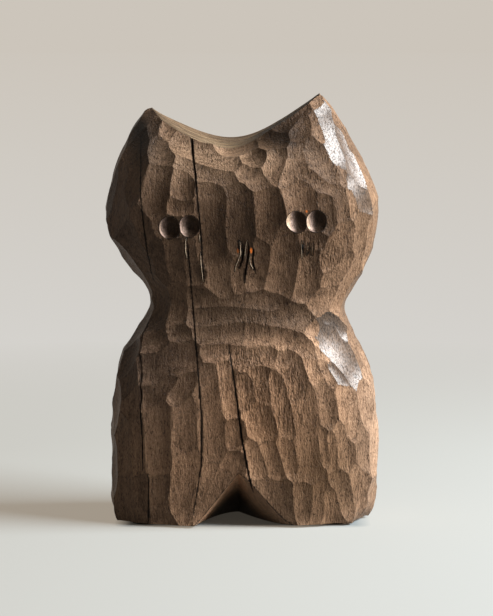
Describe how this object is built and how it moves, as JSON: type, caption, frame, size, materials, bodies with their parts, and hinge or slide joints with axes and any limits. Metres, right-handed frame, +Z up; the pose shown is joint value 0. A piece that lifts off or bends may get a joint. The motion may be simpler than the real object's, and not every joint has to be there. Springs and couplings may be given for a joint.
{
  "type": "cat figurine",
  "caption": "Free-standing cat ornament carved with a gouge from one block of dark wood: pointed ears, pinched neck, notch between the feet, felt pads below.",
  "frame": {"origin": "on the floor plane, under the middle of the figurine", "axes": "+Z up, -Y the way the face looks, +X to the right of someone who looks at the face"},
  "size_m": [0.1608, 0.091, 0.25],
  "materials": {
    "waxed_wood": "dark stained hardwood, gouge cut, waxed to a satin",
    "felt": "dense dark felt"
  },
  "bodies": {
    "root": {"carved_block": "waxed_wood", "felt_pad_front_left": "felt", "felt_pad_front_right": "felt", "felt_pad_back_left": "felt", "felt_pad_back_right": "felt"}
  },
  "joints": []
}
